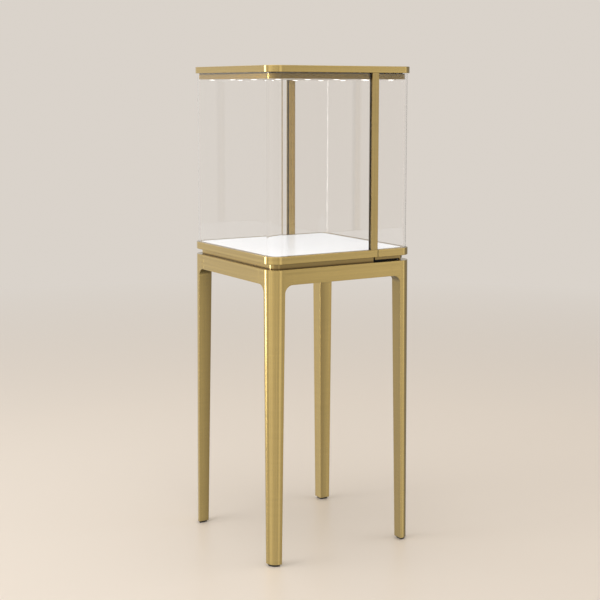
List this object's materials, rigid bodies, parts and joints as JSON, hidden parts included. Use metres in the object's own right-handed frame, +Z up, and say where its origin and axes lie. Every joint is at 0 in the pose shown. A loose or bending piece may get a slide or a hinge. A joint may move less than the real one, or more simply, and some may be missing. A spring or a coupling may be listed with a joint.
{
  "type": "glass tower display case",
  "caption": "Square glass tower display case on tapered brushed-brass legs, with rounded glass corners, a lit deck, ceiling downlights and a hinged glass rear door with a cam lock.",
  "frame": {"origin": "on the floor, under the middle of the case", "axes": "+Z up, -Y the glass front, +Y the door at the back, -X the hinge side; the two faces seen in the picture are -Y and +X"},
  "size_m": [0.46, 0.46, 1.35],
  "materials": {
    "brushed_brass": "brushed, satin lacquer",
    "clear_glass": "clear, low iron, toughened",
    "black_rubber": "matt",
    "clear_silicone": "clear, matt",
    "black_plastic": "matt",
    "driver_case": "matt",
    "steel_sheet": "powder coated",
    "black_steel": "black powder coat",
    "plated_steel": "zinc plated",
    "lock_chrome": "polished",
    "bearing_brass": "turned",
    "tray_aluminium": "satin",
    "led_board": "solder mask",
    "opal_diffuser": "opal, lit from behind",
    "white_enamel": "white enamel",
    "board_core": "raw board",
    "white_lead": "matt"
  },
  "bodies": {
    "case": {"leg_front_left": "brushed_brass", "leg_front_right": "brushed_brass", "leg_rear_left": "brushed_brass", "leg_rear_right": "brushed_brass", "apron_rail_front": "brushed_brass", "apron_rail_rear": "brushed_brass", "apron_rail_left": "brushed_brass", "apron_rail_right": "brushed_brass", "foot_front_left": "black_rubber", "foot_front_right": "black_rubber", "foot_rear_left": "black_rubber", "foot_rear_right": "black_rubber", "tie_plate": "steel_sheet", "tie_bolts": "plated_steel", "front_plinth": "brushed_brass", "rear_plinth": "black_steel", "case_spacers": "plated_steel", "case_bolts": "plated_steel", "base_plate": "steel_sheet", "lower_frame": "brushed_brass", "light_tray": "tray_aluminium", "led_board": "led_board", "deck_panel": "opal_diffuser", "led_driver": "driver_case", "driver_screws": "plated_steel", "power_inlet": "black_plastic", "post_cable": "white_lead", "front_glass": "clear_glass", "front_glass_seal": "clear_silicone", "post_left": "brushed_brass", "post_right": "brushed_brass", "post_gaskets": "black_rubber", "door_stop_seals": "black_rubber", "post_screws": "plated_steel", "post_studs": "plated_steel", "cap_shell": "brushed_brass", "cap_core": "board_core", "top_ring": "brushed_brass", "ceiling_tray": "white_enamel", "downlight_bezels": "brushed_brass", "downlight_lenses": "opal_diffuser", "downlight_pucks": "tray_aluminium", "top_bush": "bearing_brass", "bottom_bush": "bearing_brass", "lock_barrel": "lock_chrome", "lock_nut": "plated_steel"},
    "door": {"door_glass": "clear_glass", "door_glass_seal": "clear_silicone", "door_bottom_rail": "brushed_brass", "door_skirt": "brushed_brass", "door_top_rail": "brushed_brass", "door_pivot_block": "brushed_brass", "door_top_pin": "plated_steel", "door_bottom_pin": "plated_steel", "door_rest_pad": "brushed_brass", "door_strike": "plated_steel"},
    "lock": {"lock_plug": "bearing_brass", "lock_cam": "plated_steel", "cam_screw": "plated_steel"}
  },
  "joints": [
    {"name": "door_hinge", "type": "hinge", "parent": "case", "child": "door", "pos_m": [-0.221, 0.121, 0.847], "axis": [0, 0, 1], "range_deg": [0, 90]},
    {"name": "lock_turn", "type": "hinge", "parent": "case", "child": "lock", "pos_m": [0, 0.206, 0.791], "axis": [0, -1, 0], "range_deg": [0, 90]}
  ]
}
